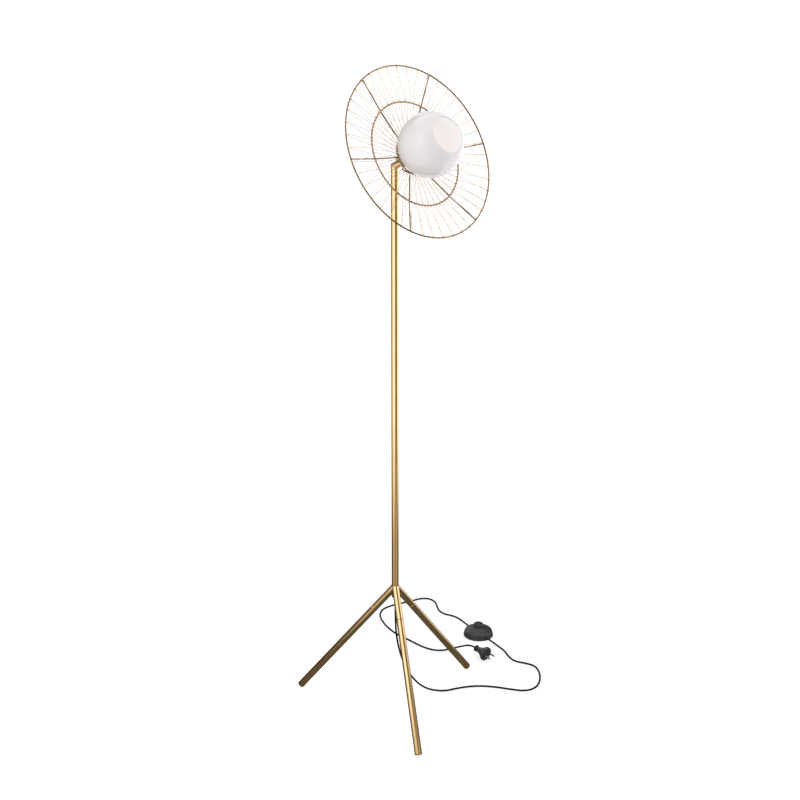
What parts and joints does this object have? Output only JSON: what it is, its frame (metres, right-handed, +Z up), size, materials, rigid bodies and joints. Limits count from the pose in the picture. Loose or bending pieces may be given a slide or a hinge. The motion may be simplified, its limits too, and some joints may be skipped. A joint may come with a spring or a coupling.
{
  "type": "floor lamp",
  "caption": "Brass tripod floor lamp with a tilted disc reflector of laced wire round an open opal glass globe, with a foot switch and plug on its flex.",
  "frame": {"origin": "point on the floor under the axis of the pole", "axes": "+Z up along the pole; the head faces -Y; the right leg points along +X"},
  "size_m": [0.6769, 0.6462, 1.5918],
  "materials": {
    "polished_brass": "polished, clear lacquer",
    "brass_rod": "polished",
    "brass_wire": "bright drawn wire, rose tint",
    "steel": "zinc plated",
    "opal_glass": "opal white, glossy",
    "white_plastic": "satin moulded",
    "ceramic_core": "glazed ceramic",
    "contact_brass": "plain",
    "black_plastic": "fine moulded texture",
    "black_rubber": "matte",
    "black_flex": "smooth sheath",
    "nickel": "nickel plated"
  },
  "bodies": {
    "lamp": {"arm_insert": "steel", "arm_tube": "polished_brass", "centre_contact": "contact_brass", "cord_to_plug": "black_flex", "cord_to_switch": "black_flex", "flex_bush": "black_rubber", "foot_cap_front": "polished_brass", "foot_cap_left": "polished_brass", "foot_cap_right": "polished_brass", "glass_globe": "opal_glass", "holder_body": "white_plastic", "holder_cap": "white_plastic", "holder_core": "ceramic_core", "holder_terminals": "contact_brass", "hub_disc": "polished_brass", "hub_ring": "brass_rod", "inner_flex": "black_flex", "lacing_wire": "brass_wire", "leg_inserts": "steel", "leg_stub_front": "polished_brass", "leg_stub_left": "polished_brass", "leg_stub_right": "polished_brass", "leg_studs": "steel", "leg_tube_front": "polished_brass", "leg_tube_left": "polished_brass", "leg_tube_right": "polished_brass", "lock_nut": "steel", "middle_ring": "brass_rod", "nipple": "steel", "outer_ring": "brass_rod", "plug_body": "black_plastic", "plug_earth_contacts": "nickel", "plug_pins": "nickel", "plug_relief": "black_rubber", "pole_tube": "polished_brass", "screw_shell": "contact_brass", "shade_ring_back": "white_plastic", "shade_ring_front": "white_plastic", "spokes": "brass_rod", "stub_inserts": "steel", "switch_base": "black_plastic", "switch_block": "black_plastic", "switch_cover": "black_plastic", "switch_relief_in": "black_rubber", "switch_relief_out": "black_rubber", "switch_screws": "steel", "switch_spring": "steel", "switch_terminals": "contact_brass"},
    "switch_button": {"switch_button": "black_plastic", "switch_plunger": "black_plastic"}
  },
  "joints": [
    {"name": "button_press", "type": "slide", "parent": "lamp", "child": "switch_button", "axis": [0, 0, -1], "range_m": [0, 0.0035], "stiffness_N_per_m": 1500, "springref_m": -0.0015, "deforming": ["switch_spring"]}
  ]
}
